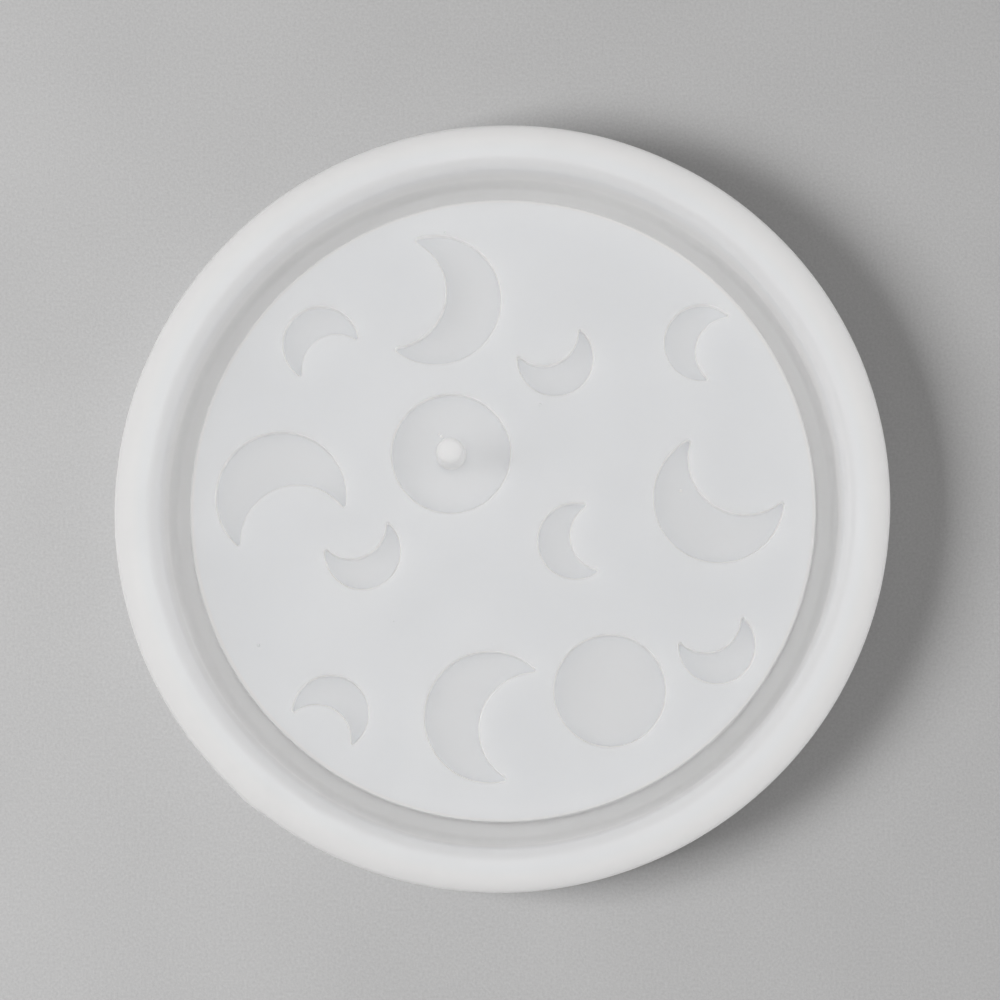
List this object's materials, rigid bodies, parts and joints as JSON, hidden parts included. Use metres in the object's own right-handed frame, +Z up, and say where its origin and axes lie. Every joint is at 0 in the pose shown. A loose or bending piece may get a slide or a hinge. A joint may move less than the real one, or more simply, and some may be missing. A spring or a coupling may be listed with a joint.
{
  "type": "resin casting mould",
  "caption": "Round open-faced silicone mould with a ring groove, a raised plateau, sunk crescent and round moon pockets, and a tapered pin, for casting an incense tray.",
  "frame": {"origin": "middle of the flat underside, on the axis of the round body", "axes": "+Z up along the body's axis, out of the open face; +Y towards the large moon next to the rim, +X a quarter turn clockwise from it seen from above"},
  "size_m": [0.125, 0.125, 0.012],
  "materials": {
    "silicone": "translucent white, satin"
  },
  "bodies": {
    "root": {"mould_body": "silicone"}
  },
  "joints": []
}
